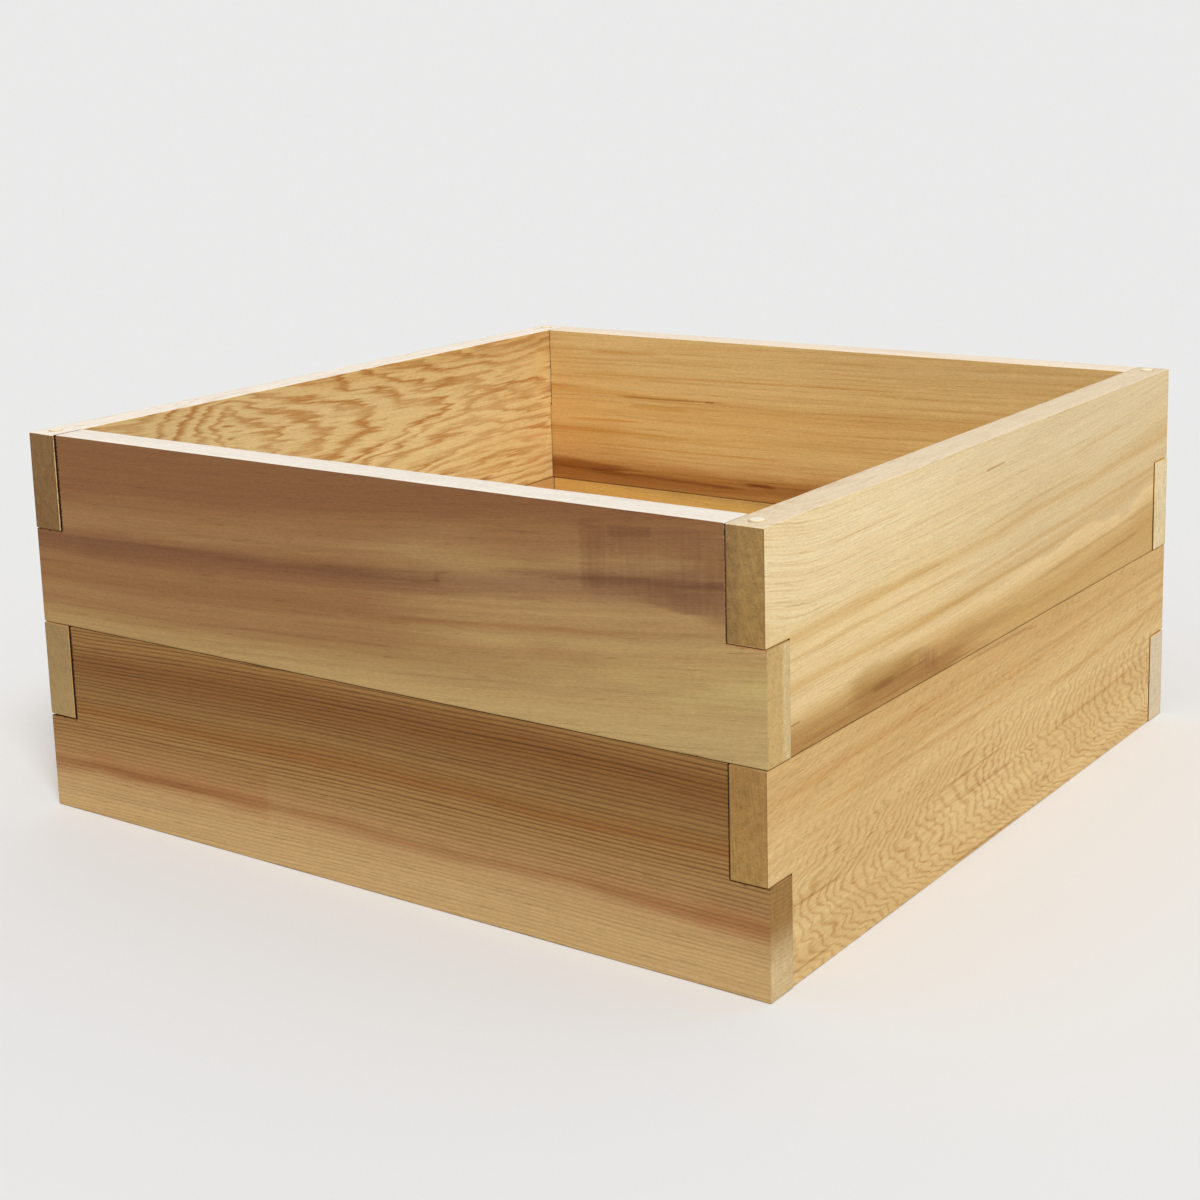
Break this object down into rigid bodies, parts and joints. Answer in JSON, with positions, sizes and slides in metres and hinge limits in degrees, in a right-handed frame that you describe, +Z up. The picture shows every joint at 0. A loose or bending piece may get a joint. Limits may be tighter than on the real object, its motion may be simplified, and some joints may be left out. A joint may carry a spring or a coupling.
{
  "type": "raised garden bed",
  "caption": "Square bottomless garden bed of stacked cedar boards, interlocked at the corners by half-height tabs and held by upright wooden pins.",
  "frame": {"origin": "on the ground, under the middle of the bed", "axes": "+X along the front from left to right, +Y from front to back, +Z up"},
  "size_m": [0.6096, 0.6096, 0.2804],
  "materials": {
    "lower_front_cedar": "planed and unfinished, straight close grain",
    "lower_right_cedar": "planed and unfinished, wavy flat-sawn grain",
    "lower_back_cedar": "planed and unfinished",
    "lower_left_cedar": "planed and unfinished",
    "upper_front_cedar": "planed and unfinished, brown heartwood fading to tan",
    "upper_right_cedar": "planed and unfinished, pale fine grain",
    "upper_back_cedar": "planed and unfinished",
    "upper_left_cedar": "planed and unfinished, bold cathedral grain",
    "dowel": "turned and unfinished"
  },
  "bodies": {
    "bed": {"lower_front_board": "lower_front_cedar", "lower_right_board": "lower_right_cedar", "lower_back_board": "lower_back_cedar", "lower_left_board": "lower_left_cedar", "upper_front_board": "upper_front_cedar", "upper_right_board": "upper_right_cedar", "upper_back_board": "upper_back_cedar", "upper_left_board": "upper_left_cedar"},
    "front_left_pin": {"front_left_pin": "dowel"},
    "front_right_pin": {"front_right_pin": "dowel"},
    "back_right_pin": {"back_right_pin": "dowel"},
    "back_left_pin": {"back_left_pin": "dowel"}
  },
  "joints": [
    {"name": "front_left_pin_draw", "type": "slide", "parent": "bed", "child": "front_left_pin", "axis": [0, 0, 1], "range_m": [0, 0.2769]},
    {"name": "front_right_pin_draw", "type": "slide", "parent": "bed", "child": "front_right_pin", "axis": [0, 0, 1], "range_m": [0, 0.2769]},
    {"name": "back_right_pin_draw", "type": "slide", "parent": "bed", "child": "back_right_pin", "axis": [0, 0, 1], "range_m": [0, 0.2769]},
    {"name": "back_left_pin_draw", "type": "slide", "parent": "bed", "child": "back_left_pin", "axis": [0, 0, 1], "range_m": [0, 0.2769]}
  ]
}
